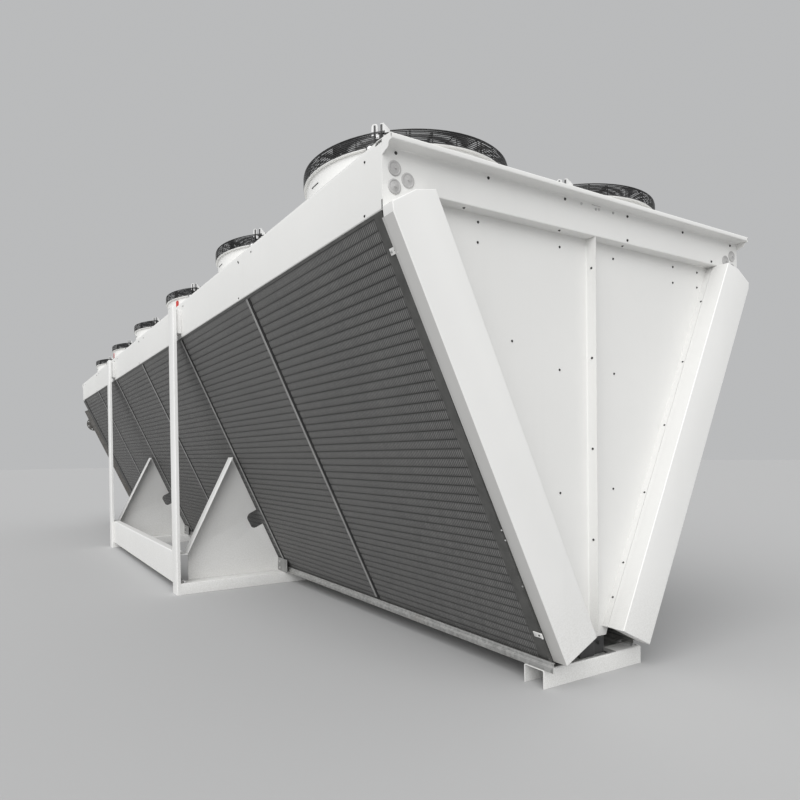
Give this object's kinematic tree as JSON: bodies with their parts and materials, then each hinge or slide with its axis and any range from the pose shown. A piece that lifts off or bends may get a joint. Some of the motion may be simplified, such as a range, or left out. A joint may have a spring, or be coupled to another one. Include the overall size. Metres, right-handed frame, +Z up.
{
  "type": "dry cooler",
  "caption": "Long V-shaped dry cooler: two leaning finned coils under a white fan plenum with guarded axial fans, on feet and two propped side frames.",
  "frame": {"origin": "middle of the whole footprint, on the ground", "axes": "+X across the unit, +Y along it from the covered end to the connection end, +Z up"},
  "size_m": [2.434, 8.883, 2.447],
  "materials": {
    "white_panel": "powder coated, satin",
    "white_cover": "powder coated, satin",
    "white_frame": "powder coated, satin",
    "galvanised_sheet": "galvanised, faint spangle",
    "divider_bar": "dull grey",
    "coil_fins": "epoxy coated fin edges, dark grey",
    "guard_wire": "black coating on wire",
    "impeller_plastic": "moulded, dark",
    "motor_housing": "black, ribbed casting",
    "bracket_steel": "black",
    "header_pipe": "dull pipe"
  },
  "bodies": {
    "root": {"base_beam_1": "white_frame", "base_beam_2": "white_frame", "bottom_tray": "galvanised_sheet", "coil_bottom_rail_left": "galvanised_sheet", "coil_bottom_rail_right": "galvanised_sheet", "coil_dividers_left": "divider_bar", "coil_dividers_right": "divider_bar", "coil_end_casing_left": "galvanised_sheet", "coil_end_casing_right": "galvanised_sheet", "coil_left": "coil_fins", "coil_right": "coil_fins", "deck_centre_strips": "white_panel", "deck_cross_panels": "white_panel", "deck_side_strip_left": "white_panel", "deck_side_strip_right": "white_panel", "end_beam_far": "white_panel", "end_beam_near": "white_panel", "end_cover_left": "white_cover", "end_cover_right": "white_cover", "end_foot_far": "white_frame", "end_foot_near": "white_frame", "end_panel_far": "white_cover", "end_panel_near": "white_cover", "fan_brackets": "bracket_steel", "fan_cowls_left": "white_panel", "fan_cowls_right": "white_panel", "fan_guards_left": "guard_wire", "fan_guards_right": "guard_wire", "fan_impellers": "impeller_plastic", "fan_motors": "motor_housing", "gusset_left_1": "white_frame", "gusset_left_2": "white_frame", "gusset_right_1": "white_frame", "gusset_right_2": "white_frame", "inlet_header_left": "header_pipe", "inlet_header_right": "header_pipe", "outlet_header_left": "header_pipe", "outlet_header_right": "header_pipe", "post_left_1": "white_frame", "post_left_2": "white_frame", "post_packers": "white_frame", "post_right_1": "white_frame", "post_right_2": "white_frame", "side_panel_left": "white_panel", "side_panel_right": "white_panel", "side_rail_left": "white_frame", "side_rail_right": "white_frame"}
  },
  "joints": []
}
